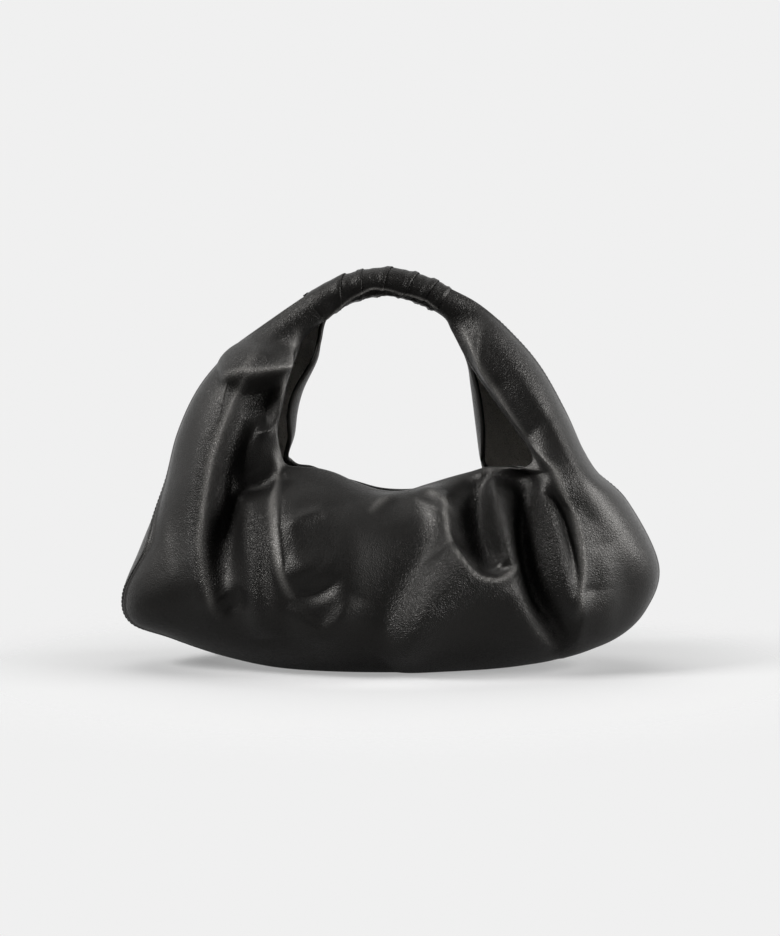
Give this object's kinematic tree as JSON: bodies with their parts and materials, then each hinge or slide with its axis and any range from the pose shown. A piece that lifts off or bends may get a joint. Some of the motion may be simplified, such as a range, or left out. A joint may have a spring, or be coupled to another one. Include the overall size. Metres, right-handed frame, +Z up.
{
  "type": "leather shoulder bag",
  "caption": "Slouchy crescent-shaped leather shoulder bag with an open top, whose sides rise into a gathered handle wound with a leather strip.",
  "frame": {"origin": "on the ground, under the middle of the bag's bounding box", "axes": "+X to the right seen from the front, +Y towards the bag's back, +Z up"},
  "size_m": [0.4388, 0.1962, 0.3301],
  "materials": {
    "pebbled_leather": "black pebbled leather, soft sheen",
    "wrap_leather": "black leather strip, smoother and a little glossier"
  },
  "bodies": {
    "root": {"front_panel": "pebbled_leather", "back_panel": "pebbled_leather", "handle_wrap": "wrap_leather"}
  },
  "joints": []
}
